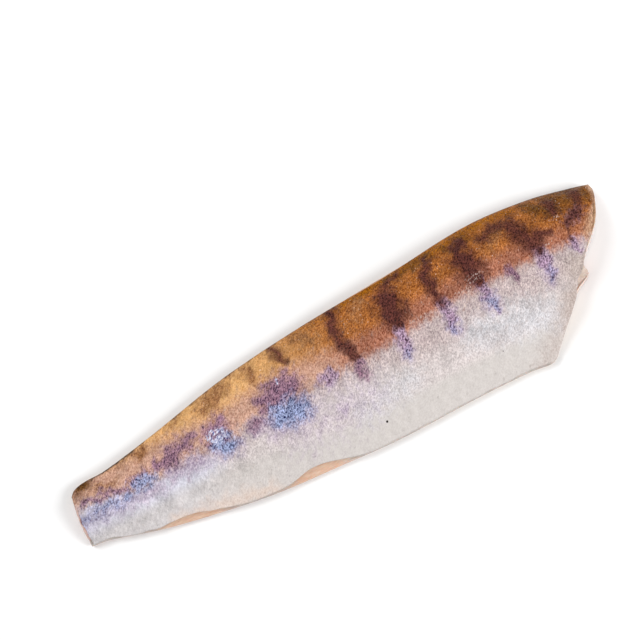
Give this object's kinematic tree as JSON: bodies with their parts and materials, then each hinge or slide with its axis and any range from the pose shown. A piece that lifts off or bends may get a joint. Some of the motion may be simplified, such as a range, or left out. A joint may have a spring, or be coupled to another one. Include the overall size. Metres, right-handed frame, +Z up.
{
  "type": "zander fillet",
  "caption": "Raw fish fillet with its skin on, lying skin side up: domed loin, thin belly flap, slanted head cut and narrow tail cut.",
  "frame": {"origin": "middle of the fillet's bounding box, on the flat cut side that it rests on", "axes": "+X from the tail cut to the head cut, +Y from the belly edge to the back edge, +Z up out of the skin side"},
  "size_m": [0.3195, 0.086, 0.0214],
  "materials": {
    "flesh": "wet raw fish flesh",
    "skin": "wet scaled fish skin"
  },
  "bodies": {
    "root": {"flesh": "flesh", "skin": "skin"}
  },
  "joints": []
}
